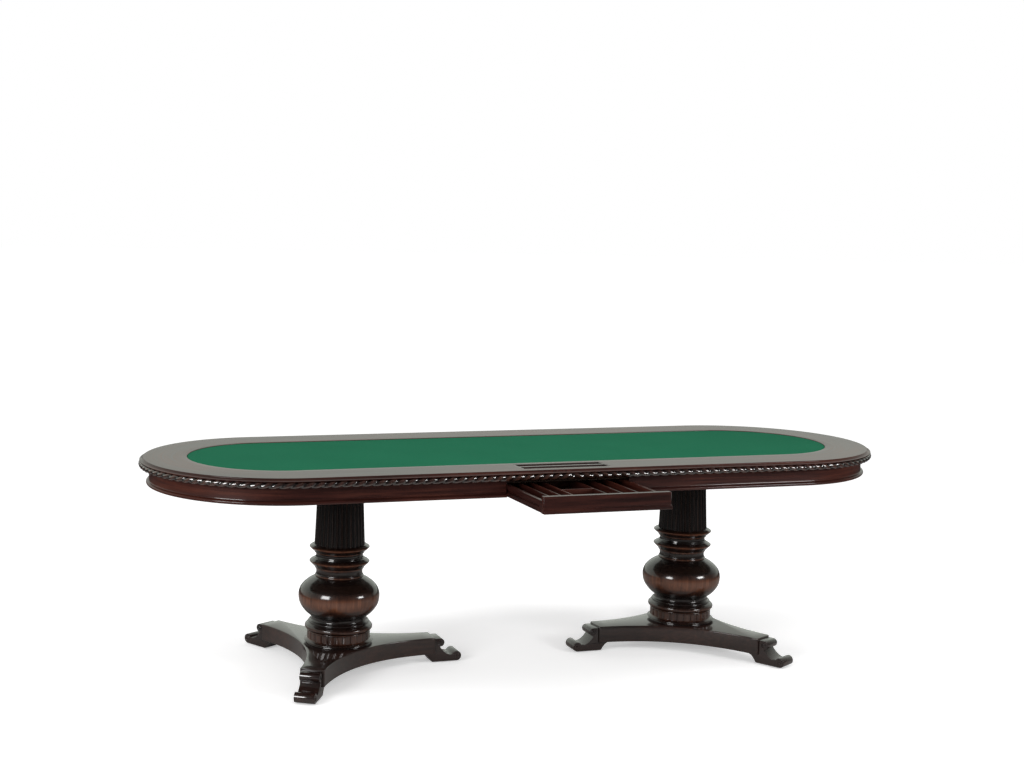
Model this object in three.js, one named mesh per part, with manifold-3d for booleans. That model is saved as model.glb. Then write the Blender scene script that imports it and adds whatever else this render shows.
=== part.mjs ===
// Gaming table: a stadium-shaped card table on two turned tripod pedestals, with one shallow drawer.
// Millimetres, +Z up, +X along the table, the dealer's side and the drawer towards -Y.
// The origin is on the floor, at the centre of the footprint with the drawer pulled out.
import * as THREE from 'three';
import { mergeVertices } from 'three/addons/utils/BufferGeometryUtils.js';
import Module from 'manifold-3d';

const wasm = await Module();
wasm.setup();

// ---- Driving dimensions ----
const TABLE_HEIGHT = 756;
const TABLE_LENGTH = 2740;
const END_RADIUS = 470.6;
const FELT_RADIUS = 306;
const GAP = 0.3;

const PANEL_THICKNESS = 13;
const RAIL_THICKNESS = 18;
const RAIL_EDGE_INSET = 18;
const FELT_THICKNESS = 2.5;
const FELT_DROP = 1.5;

const ROPE_RADIUS = 11;
const ROPE_SEAT_DEPTH = 22.6;
const ROPE_CENTRE_Z = 733.6;

const APRON_INSET = 36;
const APRON_THICKNESS = 18;
const APRON_BOTTOM = 665;
const LIP_HEIGHT = 18;
const LIP_PROJECTION = 10;

const PEDESTAL_X = 667.6;
const SLAB_TOP = 92;
const SLAB_BOTTOM = 33;
const SLAB_REACH = 348;
const SLAB_END_HALF_WIDTH = 42.5;
const SLAB_WAIST = 132;
const FOOT_WIDTH = 72;
const GLIDE_HEIGHT = 3;
const GLIDE_RADIUS = 14;
const ROD_RADIUS = 6;
const ROD_BORE_RADIUS = 6.6;
const MOUNTING_PLATE_SIZE = 280;
const MOUNTING_PLATE_THICKNESS = 18;

const DRAWER_HALF_WIDTH = 221;
const DRAWER_DEPTH = 385;
const DRAWER_PULL = 305;
const DRAWER_FRONT_TOP = 721.6;
const DRAWER_FRONT_BOTTOM = 666;
const DRAWER_FRONT_THICKNESS = 18;
const DRAWER_SIDE_THICKNESS = 13;
const DRAWER_SIDE_TOP = 707;
const DRAWER_SIDE_BOTTOM = 668;
const DRAWER_BACK_THICKNESS = 12;
const DRAWER_BACK_TOP = 714;
const DRAWER_BOTTOM_TOP = 677;
const DRAWER_BOTTOM_UNDERSIDE = 672;
const DIVIDER_THICKNESS = 6;
const DIVIDER_X = { left: [-165, -122, -80], right: [38, 94, 150] };
const CROSS_DIVIDER_SETBACK = 185;

const TRAY_LENGTH = 318;
const TRAY_WIDTH = 92;
const TRAY_Y = -378;
const TROUGH_LENGTH = 308;
const TROUGH_WIDTH = 37;
const TROUGH_DEPTH = 14;
const TROUGH_SPACING = 48;

const RING_SEGMENTS = 48;
const TURNED_SEGMENTS = 24;
const SECTION_SEGMENTS = 4;
const ROUND_SEGMENTS = 16;

// ---- Derived places ----
const STRAIGHT = TABLE_LENGTH - 2 * END_RADIUS;
const HALF_STRAIGHT = STRAIGHT / 2;
const RAIL_BOTTOM = TABLE_HEIGHT - RAIL_THICKNESS;
const PANEL_TOP = RAIL_BOTTOM - GAP;
const PANEL_BOTTOM = PANEL_TOP - PANEL_THICKNESS;
const ROPE_SEAT_RADIUS = END_RADIUS - ROPE_SEAT_DEPTH;
const ROPE_CENTRE_RADIUS = END_RADIUS - ROPE_RADIUS;
const APRON_TOP = PANEL_BOTTOM - GAP;
const APRON_FACE = END_RADIUS - APRON_INSET;
const DRAWER_FACE_Y = -APRON_FACE - DRAWER_PULL;
const FRONT_REACH = DRAWER_FACE_Y - LIP_PROJECTION;
const FOOTPRINT_SHIFT = -(FRONT_REACH + END_RADIUS) / 2;
const FELT_TOP = TABLE_HEIGHT - FELT_DROP;
const FELT_BOTTOM = FELT_TOP - FELT_THICKNESS;

// ---- Finishes ----
const dark_wood = { color: 0x2a1510, roughness: 0.22, metalness: 0 };
const rail_wood = { color: 0x4a221a, roughness: 0.2, metalness: 0 };
const hidden_wood = { color: 0x8a6a48, roughness: 0.7, metalness: 0 };
const felt_green = { color: 0x1f5e3c, roughness: 0.95, metalness: 0 };
const steel = { color: 0x8d8f92, roughness: 0.35, metalness: 1 };
const pad_black = { color: 0x1a1a1a, roughness: 0.9, metalness: 0 };

// ---- Solids ----
function toSolid(geometry) {
  const bare = geometry.clone();
  bare.deleteAttribute('normal');
  bare.deleteAttribute('uv');
  const merged = mergeVertices(bare, 1e-4);
  const mesh = new wasm.Mesh({
    numProp: 3,
    vertProperties: new Float32Array(merged.attributes.position.array),
    triVerts: new Uint32Array(merged.index.array),
  });
  return new wasm.Manifold(mesh);
}

function toGeometry(solid) {
  const { vertProperties, triVerts } = solid.getMesh();
  const geometry = new THREE.BufferGeometry();
  geometry.setAttribute('position', new THREE.BufferAttribute(new Float32Array(vertProperties), 3));
  geometry.setIndex(new THREE.BufferAttribute(new Uint32Array(triVerts), 1));
  geometry.computeVertexNormals();
  return geometry;
}

function subtract(geometry, ...tools) {
  return toGeometry(tools.reduce((solid, tool) => solid.subtract(toSolid(tool)), toSolid(geometry)));
}

function intersect(geometry, tool) {
  return toGeometry(toSolid(geometry).intersect(toSolid(tool)));
}

const group = new THREE.Group();
const table = new THREE.Group();
table.position.y = FOOTPRINT_SHIFT;
group.add(table);

function place(parent, name, geometry, finish) {
  const mesh = new THREE.Mesh(geometry, new THREE.MeshStandardMaterial(finish));
  mesh.name = name;
  parent.add(mesh);
  return mesh;
}

function box(x0, x1, y0, y1, z0, z1) {
  const geometry = new THREE.BoxGeometry(x1 - x0, y1 - y0, z1 - z0);
  return geometry.translate((x0 + x1) / 2, (y0 + y1) / 2, (z0 + z1) / 2);
}

function stadiumPlate(radius, z0, z1) {
  const outline = new THREE.Shape();
  outline.moveTo(-HALF_STRAIGHT, -radius);
  outline.lineTo(HALF_STRAIGHT, -radius);
  outline.absarc(HALF_STRAIGHT, 0, radius, -Math.PI / 2, Math.PI / 2, false);
  outline.lineTo(-HALF_STRAIGHT, radius);
  outline.absarc(-HALF_STRAIGHT, 0, radius, Math.PI / 2, 1.5 * Math.PI, false);
  const options = { depth: z1 - z0, bevelEnabled: false, curveSegments: RING_SEGMENTS / 4 };
  return new THREE.ExtrudeGeometry(outline, options).translate(0, 0, z0);
}

// A section (x = distance out from the table's centre line, y = height) run straight along the side.
// side is -1 for the dealer's side and 1 for the far side.
function straightRun(section, side, x0, x1) {
  const options = { depth: x1 - x0, bevelEnabled: false, curveSegments: SECTION_SEGMENTS };
  const geometry = new THREE.ExtrudeGeometry(section, options);
  geometry.rotateX(Math.PI / 2);
  geometry.rotateZ(Math.PI / 2);
  if (side < 0) {
    geometry.rotateZ(Math.PI);
    return geometry.translate(x1, 0, 0);
  }
  return geometry.translate(x0, 0, 0);
}

// The same section turned round one end of the table. end is -1 on the left and 1 on the right.
function endRun(section, end) {
  const points = section.getPoints(SECTION_SEGMENTS);
  if (points[0].distanceTo(points[points.length - 1]) > 1e-6) {
    points.push(points[0].clone());
  }
  if (THREE.ShapeUtils.area(points) < 0) {
    points.reverse();
  }
  const ring = new THREE.LatheGeometry(points, RING_SEGMENTS);
  ring.rotateX(Math.PI / 2);
  const reach = 2 * END_RADIUS;
  const half = end > 0
    ? box(GAP / 2, reach, -reach, reach, 0, 2 * TABLE_HEIGHT)
    : box(-reach, -GAP / 2, -reach, reach, 0, 2 * TABLE_HEIGHT);
  return intersect(ring, half).translate(end * HALF_STRAIGHT, 0, 0);
}

// ---- Sections ----
function railSection() {
  const flatEnd = END_RADIUS - RAIL_EDGE_INSET;
  const edge = END_RADIUS - 3;
  const lip = ROPE_CENTRE_Z + ROPE_RADIUS + GAP;
  const section = new THREE.Shape();
  section.moveTo(FELT_RADIUS + GAP, RAIL_BOTTOM);
  section.lineTo(ROPE_SEAT_RADIUS, RAIL_BOTTOM);
  section.lineTo(ROPE_SEAT_RADIUS, lip);
  section.lineTo(edge, lip);
  section.lineTo(edge, lip + 2);
  section.quadraticCurveTo(flatEnd + 8, lip + 3, flatEnd + 5, TABLE_HEIGHT - 3);
  section.quadraticCurveTo(flatEnd + 3, TABLE_HEIGHT, flatEnd, TABLE_HEIGHT);
  section.lineTo(FELT_RADIUS + GAP, TABLE_HEIGHT);
  section.closePath();
  return section;
}

function ropeSection() {
  const section = new THREE.Shape();
  section.absarc(ROPE_CENTRE_RADIUS, ROPE_CENTRE_Z, ROPE_RADIUS, 0, 2 * Math.PI, false);
  return section;
}

function skirtSection(face, thickness, bottom, top) {
  const section = new THREE.Shape();
  section.moveTo(face - thickness, bottom);
  section.lineTo(face + LIP_PROJECTION / 2, bottom);
  section.quadraticCurveTo(
    face + LIP_PROJECTION, bottom, face + LIP_PROJECTION, bottom + LIP_HEIGHT / 3);
  section.quadraticCurveTo(
    face + LIP_PROJECTION, bottom + 0.7 * LIP_HEIGHT, face + LIP_PROJECTION / 2, bottom + 0.75 * LIP_HEIGHT);
  section.quadraticCurveTo(face, bottom + 0.8 * LIP_HEIGHT, face, bottom + LIP_HEIGHT);
  section.lineTo(face, top);
  section.lineTo(face - thickness, top);
  section.closePath();
  return section;
}

// ---- Table top ----
function makeTop() {
  place(table, 'top_panel', stadiumPlate(ROPE_SEAT_RADIUS, PANEL_BOTTOM, PANEL_TOP), hidden_wood);
  const board = stadiumPlate(FELT_RADIUS - GAP, RAIL_BOTTOM, FELT_BOTTOM - GAP);
  place(table, 'playfield_board', board, hidden_wood);
  place(table, 'playing_felt', stadiumPlate(FELT_RADIUS - GAP, FELT_BOTTOM, FELT_TOP), felt_green);

  const cutLength = TRAY_LENGTH / 2 + GAP;
  const cutWidth = TRAY_WIDTH / 2 + GAP;
  const cut = box(-cutLength, cutLength, TRAY_Y - cutWidth, TRAY_Y + cutWidth,
    RAIL_BOTTOM - 5, TABLE_HEIGHT + 5);
  const run = HALF_STRAIGHT - GAP / 2;
  const front = subtract(straightRun(railSection(), -1, -run, run), cut);
  place(table, 'rail_front', front, rail_wood);
  place(table, 'rail_back', straightRun(railSection(), 1, -run, run), rail_wood);
  place(table, 'rail_left_end', endRun(railSection(), -1), rail_wood);
  place(table, 'rail_right_end', endRun(railSection(), 1), rail_wood);

  place(table, 'rope_moulding_front', straightRun(ropeSection(), -1, -run, run), dark_wood);
  place(table, 'rope_moulding_back', straightRun(ropeSection(), 1, -run, run), dark_wood);
  place(table, 'rope_moulding_left_end', endRun(ropeSection(), -1), dark_wood);
  place(table, 'rope_moulding_right_end', endRun(ropeSection(), 1), dark_wood);
}

function makeChipTray() {
  const radius = (TROUGH_WIDTH ** 2 / 4 + TROUGH_DEPTH ** 2) / (2 * TROUGH_DEPTH);
  const axisZ = TABLE_HEIGHT - TROUGH_DEPTH + radius;
  const troughs = [-1, 1].map((side) => {
    const trough = new THREE.CylinderGeometry(radius, radius, TROUGH_LENGTH, 2 * ROUND_SEGMENTS);
    trough.rotateZ(Math.PI / 2);
    return trough.translate(0, TRAY_Y + side * TROUGH_SPACING / 2, axisZ);
  });
  const body = box(-TRAY_LENGTH / 2, TRAY_LENGTH / 2, TRAY_Y - TRAY_WIDTH / 2, TRAY_Y + TRAY_WIDTH / 2,
    RAIL_BOTTOM, TABLE_HEIGHT - GAP);
  place(table, 'chip_tray', subtract(body, ...troughs), dark_wood);
}

// ---- Skirt below the top ----
function makeApron() {
  const section = skirtSection(APRON_FACE, APRON_THICKNESS, APRON_BOTTOM, APRON_TOP);
  const run = HALF_STRAIGHT - GAP / 2;
  const opening = DRAWER_HALF_WIDTH + 1.5;
  place(table, 'apron_front_left', straightRun(section, -1, -run, -opening), rail_wood);
  place(table, 'apron_front_right', straightRun(section, -1, opening, run), rail_wood);
  place(table, 'apron_back', straightRun(section, 1, -run, run), rail_wood);
  place(table, 'apron_left_end', endRun(section, -1), rail_wood);
  place(table, 'apron_right_end', endRun(section, 1), rail_wood);
}

// ---- Drawer and what carries it ----
const GROOVE_LOW = 682;
const GROOVE_HIGH = 695;
const GROOVE_DEPTH = 6;
const GROOVE_START = 20;
const RUNNER_WEB = 18;
const RUNNER_BACK_Y = -20;
const TOP_RAIL_DEPTH = 20;

function makeDrawerSupports() {
  const runnerFront = -APRON_FACE + APRON_THICKNESS + GAP;
  for (const [name, side] of [['left', -1], ['right', 1]]) {
    const inner = DRAWER_HALF_WIDTH + 1;
    const web = box(inner, inner + RUNNER_WEB, runnerFront, RUNNER_BACK_Y, 670, PANEL_BOTTOM - GAP);
    const tongue = box(inner - GROOVE_DEPTH, inner + 1, runnerFront + GROOVE_START + GAP, RUNNER_BACK_Y,
      GROOVE_LOW + 0.5, GROOVE_HIGH - 0.5);
    const solid = toSolid(web).add(toSolid(tongue));
    const runner = toGeometry(side < 0 ? solid.mirror([1, 0, 0]) : solid);
    place(table, `drawer_runner_${name}`, runner, hidden_wood);
  }
  const railFront = -APRON_FACE + DRAWER_FRONT_THICKNESS + 1;
  place(table, 'drawer_top_rail', box(-DRAWER_HALF_WIDTH, DRAWER_HALF_WIDTH, railFront, railFront + TOP_RAIL_DEPTH,
    DRAWER_SIDE_TOP + 2, PANEL_BOTTOM - GAP), hidden_wood);
  const stopFront = -APRON_FACE + DRAWER_DEPTH + GAP;
  place(table, 'drawer_stop', box(-30, 30, stopFront, stopFront + 20, 680, PANEL_BOTTOM - GAP), hidden_wood);
}

function makeDrawer() {
  const front = DRAWER_FACE_Y;
  const inside = front + DRAWER_FRONT_THICKNESS + GAP;
  const rear = front + DRAWER_DEPTH;
  const backFace = rear - DRAWER_BACK_THICKNESS;
  const innerX = DRAWER_HALF_WIDTH - DRAWER_SIDE_THICKNESS;

  const section = skirtSection(-front, DRAWER_FRONT_THICKNESS, DRAWER_FRONT_BOTTOM, DRAWER_FRONT_TOP);
  const panel = straightRun(section, -1, -DRAWER_HALF_WIDTH, DRAWER_HALF_WIDTH);
  place(table, 'drawer_front', panel, rail_wood);

  for (const [name, side] of [['left', -1], ['right', 1]]) {
    const outer = side * DRAWER_HALF_WIDTH;
    const low = Math.min(outer, side * innerX);
    const high = Math.max(outer, side * innerX);
    const board = box(low, high, inside, rear, DRAWER_SIDE_BOTTOM, DRAWER_SIDE_TOP);
    const groove = box(outer - GROOVE_DEPTH, outer + GROOVE_DEPTH, inside + GROOVE_START, rear + 5,
      GROOVE_LOW, GROOVE_HIGH);
    place(table, `drawer_side_${name}`, subtract(board, groove), dark_wood);
  }
  place(table, 'drawer_back', box(-innerX + GAP, innerX - GAP, backFace, rear,
    DRAWER_SIDE_BOTTOM, DRAWER_BACK_TOP), dark_wood);
  place(table, 'drawer_bottom', box(-innerX + GAP, innerX - GAP, inside, backFace - GAP,
    DRAWER_BOTTOM_UNDERSIDE, DRAWER_BOTTOM_TOP), hidden_wood);

  const floor = DRAWER_BOTTOM_TOP + GAP;
  for (const [side, places] of Object.entries(DIVIDER_X)) {
    places.forEach((x, index) => {
      const divider = box(x - DIVIDER_THICKNESS / 2, x + DIVIDER_THICKNESS / 2, inside, backFace - GAP,
        floor, DRAWER_SIDE_TOP);
      place(table, `drawer_divider_${side}_${index + 1}`, divider, dark_wood);
    });
  }
  const crossY = front + CROSS_DIVIDER_SETBACK;
  const crossLeft = DIVIDER_X.left[2] + DIVIDER_THICKNESS / 2 + GAP;
  const crossRight = DIVIDER_X.right[0] - DIVIDER_THICKNESS / 2 - GAP;
  place(table, 'drawer_cross_divider', box(crossLeft, crossRight, crossY, crossY + DIVIDER_THICKNESS,
    floor, DRAWER_SIDE_TOP), dark_wood);
}

// ---- Pedestals ----
// A turned piece with a bore for the tie rod. profile lists [radius, height] from the bottom up.
function turned(profile) {
  const first = profile[0];
  const last = profile[profile.length - 1];
  const points = profile.map(([radius, height]) => new THREE.Vector2(radius, height));
  points.push(new THREE.Vector2(ROD_BORE_RADIUS, last[1]));
  points.push(new THREE.Vector2(ROD_BORE_RADIUS, first[1]));
  points.push(points[0].clone());
  const geometry = new THREE.LatheGeometry(points, TURNED_SEGMENTS);
  return geometry.rotateX(Math.PI / 2);
}

const BASE_RING_TOP = 141;
const COLUMN_TOP = 440;

function baseRingProfile() {
  return [[113, SLAB_TOP + GAP], [115, 96], [121, 102], [117, 106], [110, 109], [110, BASE_RING_TOP - 3],
    [107, BASE_RING_TOP]];
}

function columnProfile() {
  const lowerRing = [[107, BASE_RING_TOP + GAP], [116, 147], [118, 153], [115, 160], [101, 172], [97, 184]];
  const bulb = [[101, 192], [119, 210], [131, 224], [140, 243], [142, 258], [141, 272], [134, 287], [119, 301],
    [102, 312], [88, 323]];
  const collars = [[82, 329], [84, 333], [82, 344], [82, 352], [91, 368], [105, 381], [97, 386], [83, 398],
    [84, 412], [93, 420], [105, 432], [90, COLUMN_TOP]];
  return [...lowerRing, ...bulb, ...collars];
}

function slabGeometry() {
  const outline = new THREE.Shape();
  const corner = (angle, offset) => new THREE.Vector2(SLAB_REACH, offset)
    .rotateAround(new THREE.Vector2(), angle);
  for (let leg = 0; leg < 3; leg += 1) {
    const angle = leg * 2 * Math.PI / 3;
    const start = corner(angle, -SLAB_END_HALF_WIDTH);
    const end = corner(angle, SLAB_END_HALF_WIDTH);
    const next = corner(angle + 2 * Math.PI / 3, -SLAB_END_HALF_WIDTH);
    const middle = end.clone().add(next).multiplyScalar(0.5);
    const waist = middle.clone().setLength(2 * SLAB_WAIST - middle.length());
    if (leg === 0) {
      outline.moveTo(start.x, start.y);
    }
    outline.lineTo(end.x, end.y);
    outline.quadraticCurveTo(waist.x, waist.y, next.x, next.y);
  }
  const bore = new THREE.Path();
  bore.absarc(0, 0, ROD_BORE_RADIUS, 0, 2 * Math.PI, true);
  outline.holes.push(bore);
  const options = { depth: SLAB_TOP - SLAB_BOTTOM, bevelEnabled: false, curveSegments: ROUND_SEGMENTS / 2 };
  return new THREE.ExtrudeGeometry(outline, options).translate(0, 0, SLAB_BOTTOM);
}

// Side view of a scroll foot: x = distance out from the pedestal's axis, y = height.
function footSection() {
  const sole = GLIDE_HEIGHT + GAP;
  const ledge = SLAB_BOTTOM - GAP;
  const outward = SLAB_REACH + GAP;
  const foot = new THREE.Shape();
  foot.moveTo(304, ledge);
  foot.quadraticCurveTo(322, ledge - 6, 339, sole);
  foot.lineTo(428, sole);
  foot.absarc(432, sole + 17, 17, -1.8, 2.55, false);
  foot.bezierCurveTo(411, 19, 381, 33, 368.1, 57.4);
  foot.absarc(370, 71.8, 14.5, -1.7, Math.PI / 2, false);
  foot.lineTo(outward, 86.3);
  foot.lineTo(outward, ledge);
  foot.closePath();
  return foot;
}

function makePedestal(name, x, turn) {
  const pedestal = new THREE.Group();
  pedestal.position.x = x;
  pedestal.rotation.z = turn;
  table.add(pedestal);

  const plateBottom = PANEL_BOTTOM - GAP - MOUNTING_PLATE_THICKNESS;
  const half = MOUNTING_PLATE_SIZE / 2;
  const rodHole = new THREE.CylinderGeometry(ROD_BORE_RADIUS, ROD_BORE_RADIUS, 60, TURNED_SEGMENTS);
  rodHole.rotateX(Math.PI / 2).translate(0, 0, plateBottom);
  const plate = subtract(box(-half, half, -half, half, plateBottom, PANEL_BOTTOM - GAP), rodHole);
  place(pedestal, `mounting_plate_${name}`, plate, hidden_wood);

  const shaft = [[88.5, COLUMN_TOP + GAP], [84, 550], [79, 664], [78, plateBottom - GAP]];
  place(pedestal, `fluted_shaft_${name}`, turned(shaft), dark_wood);
  place(pedestal, `turned_column_${name}`, turned(columnProfile()), dark_wood);
  place(pedestal, `reeded_base_${name}`, turned(baseRingProfile()), dark_wood);
  place(pedestal, `tripod_base_${name}`, slabGeometry(), dark_wood);

  const rodBottom = SLAB_BOTTOM - 18;
  const rodTop = PANEL_BOTTOM - GAP - 3;
  const rod = new THREE.CylinderGeometry(ROD_RADIUS, ROD_RADIUS, rodTop - rodBottom, ROUND_SEGMENTS);
  rod.rotateX(Math.PI / 2).translate(0, 0, (rodTop + rodBottom) / 2);
  place(pedestal, `tie_rod_${name}`, rod, steel);
  const nut = new THREE.CylinderGeometry(11, 11, 12, 6);
  const nutBore = new THREE.CylinderGeometry(ROD_BORE_RADIUS, ROD_BORE_RADIUS, 30, TURNED_SEGMENTS);
  const ring = subtract(nut, nutBore);
  ring.rotateX(Math.PI / 2).translate(0, 0, SLAB_BOTTOM - GAP - 6);
  place(pedestal, `tie_rod_nut_${name}`, ring, steel);

  for (let leg = 0; leg < 3; leg += 1) {
    const arm = new THREE.Group();
    arm.rotation.z = leg * 2 * Math.PI / 3;
    pedestal.add(arm);
    const options = { depth: FOOT_WIDTH, bevelEnabled: false, curveSegments: SECTION_SEGMENTS + 1 };
    const foot = new THREE.ExtrudeGeometry(footSection(), options);
    foot.rotateX(Math.PI / 2).translate(0, FOOT_WIDTH / 2, 0);
    place(arm, `scroll_foot_${name}_${leg + 1}`, foot, dark_wood);
    const glide = new THREE.CylinderGeometry(GLIDE_RADIUS, GLIDE_RADIUS, GLIDE_HEIGHT, ROUND_SEGMENTS);
    glide.rotateX(Math.PI / 2).translate(385, 0, GLIDE_HEIGHT / 2);
    place(arm, `glide_${name}_${leg + 1}`, glide, pad_black);
  }
}

makeTop();
makeChipTray();
makeApron();
makeDrawerSupports();
makeDrawer();
makePedestal('left', -PEDESTAL_X, 0);
makePedestal('right', PEDESTAL_X, Math.PI);

export default group;
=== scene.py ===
import math

import bmesh
import bpy
import numpy as np
from mathutils import Matrix, Vector


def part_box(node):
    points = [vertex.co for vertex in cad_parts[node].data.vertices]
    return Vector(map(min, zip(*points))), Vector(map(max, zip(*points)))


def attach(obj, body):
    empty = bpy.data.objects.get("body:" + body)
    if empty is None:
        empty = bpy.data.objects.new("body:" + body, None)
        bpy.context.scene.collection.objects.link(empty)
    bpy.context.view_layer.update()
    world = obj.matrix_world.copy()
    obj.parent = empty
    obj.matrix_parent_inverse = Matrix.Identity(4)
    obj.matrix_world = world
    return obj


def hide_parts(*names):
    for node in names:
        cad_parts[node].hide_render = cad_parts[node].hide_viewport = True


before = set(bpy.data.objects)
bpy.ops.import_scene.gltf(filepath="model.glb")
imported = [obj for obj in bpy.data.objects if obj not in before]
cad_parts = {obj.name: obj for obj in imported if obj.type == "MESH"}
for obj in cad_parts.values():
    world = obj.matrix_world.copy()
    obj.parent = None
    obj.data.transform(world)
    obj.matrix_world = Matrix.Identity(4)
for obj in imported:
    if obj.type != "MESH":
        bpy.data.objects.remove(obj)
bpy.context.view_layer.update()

# ---- Places and sizes taken from the frame, in metres ----
TABLE = "table"
DRAWER = "drawer"
panel_low, panel_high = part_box("top_panel")
rope_low, rope_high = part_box("rope_moulding_front")
rail_low, rail_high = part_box("rail_front")
felt_low, felt_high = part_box("playing_felt")
skirt_low, skirt_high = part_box("apron_back")

CENTRE_Y = (panel_low.y + panel_high.y) / 2
HALF_STRAIGHT = rail_high.x + 0.00015
TABLE_TOP = rail_high.z
RAIL_BOTTOM = rail_low.z
END_RADIUS = CENTRE_Y - rope_low.y
ROPE_RADIUS = (rope_high.y - rope_low.y) / 2
ROPE_CENTRE_RADIUS = END_RADIUS - ROPE_RADIUS
ROPE_Z = (rope_low.z + rope_high.z) / 2
PANEL_RADIUS = (panel_high.y - panel_low.y) / 2
FELT_RADIUS = (felt_high.y - felt_low.y) / 2
SKIRT_OUTER = skirt_high.y - CENTRE_Y
SKIRT_INNER = skirt_low.y - CENTRE_Y
LIP_PROJECTION = 0.010
LIP_HEIGHT = 0.018

END_STEPS = 96
STRAIGHT_STEPS = 24
ROUND_STEPS = 128


# ---- Mesh helpers ----
def mesh_object(name, verts, faces, grain=None, painted_light_and_shade=None, sharp=35):
    """A smooth-shaded mesh object. grain holds each vertex's place along, across and through the wood."""
    mesh = bpy.data.meshes.new(name)
    mesh.from_pydata([tuple(v) for v in verts], [], [tuple(f) for f in faces])
    mesh.validate()
    if grain is not None:
        layer = mesh.attributes.new("grain", "FLOAT_VECTOR", "POINT")
        layer.data.foreach_set("vector", np.asarray(grain, np.float32).ravel())
    # Painted light and shade for each vertex: low values paint shade, high values paint a highlight.
    if painted_light_and_shade is not None:
        layer = mesh.attributes.new("painted_light_and_shade", "FLOAT", "POINT")
        layer.data.foreach_set("value", np.asarray(painted_light_and_shade, np.float32).ravel())
    obj = bpy.data.objects.new(name, mesh)
    bpy.context.scene.collection.objects.link(obj)
    finish_mesh(obj, sharp)
    return obj


def finish_mesh(obj, sharp=35):
    """Faces out, smooth shading, and sharp edges where the surface turns by more than sharp degrees."""
    work = bmesh.new()
    work.from_mesh(obj.data)
    bmesh.ops.recalc_face_normals(work, faces=work.faces)
    work.to_mesh(obj.data)
    work.free()
    obj.data.polygons.foreach_set("use_smooth", [True] * len(obj.data.polygons))
    obj.data.set_sharp_from_angle(angle=math.radians(sharp))


def dress(obj, material, body, slot_name, *nodes):
    obj.data.materials.clear()
    obj.data.materials.append(material)
    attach(obj, body)
    if nodes:
        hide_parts(*nodes)
    return obj


def arc(cx, cz, radius, start, end, steps):
    """Points on an arc, from start to end degrees."""
    angles = np.radians(np.linspace(start, end, steps + 1))
    return [(cx + radius * math.cos(a), cz + radius * math.sin(a)) for a in angles]


def smooth_curve(points, steps=6):
    """A Catmull-Rom curve through the points."""
    points = np.array(points, float)
    padded = np.vstack([2 * points[0] - points[1], points, 2 * points[-1] - points[-2]])
    out = []
    for i in range(1, len(padded) - 2):
        a, b, c, d = padded[i - 1:i + 3]
        for t in np.linspace(0, 1, steps, endpoint=False):
            out.append(0.5 * (2 * b + (c - a) * t + (2 * a - 5 * b + 4 * c - d) * t ** 2
                              + (3 * b - a - 3 * c + d) * t ** 3))
    out.append(padded[-2])
    return [tuple(p) for p in out]


def loft(rows):
    """Joins equal closed rows of points into one solid with flat ends."""
    size = len(rows[0])
    verts = [v for row in rows for v in row]
    faces = []
    for i in range(len(rows) - 1):
        for j in range(size):
            m = (j + 1) % size
            faces.append((i * size + j, (i + 1) * size + j, (i + 1) * size + m, i * size + m))
    faces.append(tuple(range(size)))
    faces.append(tuple((len(rows) - 1) * size + j for j in reversed(range(size))))
    return verts, faces


def skin(work, rows):
    """Joins equal rings of a bmesh's vertices into one solid with flat ends."""
    size = len(rows[0])
    for lower, upper in zip(rows[:-1], rows[1:]):
        for j in range(size):
            k = (j + 1) % size
            work.faces.new((lower[j], lower[k], upper[k], upper[j]))
    work.faces.new(rows[0])
    work.faces.new(rows[-1])


def round_row(work, centre, radius, steps, lift):
    """A ring of new vertices of a bmesh. lift(u, v) places a point of the ring's plane."""
    return [work.verts.new(lift(centre[0] + radius * math.cos(a), centre[1] + radius * math.sin(a)))
            for a in np.linspace(0, 2 * math.pi, steps, endpoint=False)]


# ---- The stadium path ----
def stadium_stations(marks=()):
    """Stations round the table from the middle of the dealer's side: (centre x, outward angle, distance).
    marks are x places on the dealer's side that must have a station."""
    front = sorted(set(np.linspace(0, HALF_STRAIGHT, STRAIGHT_STEPS // 2 + 1)) | {abs(m) for m in marks})
    reference = (END_RADIUS + FELT_RADIUS) / 2
    quarter = math.pi / 2
    stations = [(x, -quarter, x) for x in front]
    run = HALF_STRAIGHT
    turns = np.linspace(-quarter, quarter, END_STEPS + 1)[1:]
    stations += [(HALF_STRAIGHT, t, run + (t + quarter) * reference) for t in turns]
    run += math.pi * reference
    xs = np.linspace(HALF_STRAIGHT, -HALF_STRAIGHT, STRAIGHT_STEPS + 1)[1:]
    stations += [(x, quarter, run + HALF_STRAIGHT - x) for x in xs]
    run += 2 * HALF_STRAIGHT
    turns = np.linspace(quarter, 3 * quarter, END_STEPS + 1)[1:]
    stations += [(-HALF_STRAIGHT, t, run + (t - quarter) * reference) for t in turns]
    run += math.pi * reference
    stations += [(-x, 3 * quarter, run + HALF_STRAIGHT - x) for x in reversed(front[1:-1])]
    return stations


def station_point(station, radius, z):
    x, angle, _ = station
    return (x + radius * math.cos(angle), CENTRE_Y + radius * math.sin(angle), z)


def sweep(profile, stations, closed=True, skip=None):
    """Runs a closed (radius, height) profile round the stations. skip(i, j) leaves out a face."""
    count, size = len(stations), len(profile)
    verts = [station_point(s, r, z) for s in stations for r, z in profile]
    grain = [(s[2], r, z) for s in stations for r, z in profile]
    faces = []
    for i in range(count if closed else count - 1):
        for j in range(size):
            if skip and skip(i, j):
                continue
            k, m = (i + 1) % count, (j + 1) % size
            faces.append((i * size + j, k * size + j, k * size + m, i * size + m))
    if not closed:
        faces.append(tuple(range(size)))
        faces.append(tuple((count - 1) * size + j for j in reversed(range(size))))
    return verts, faces, grain


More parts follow.
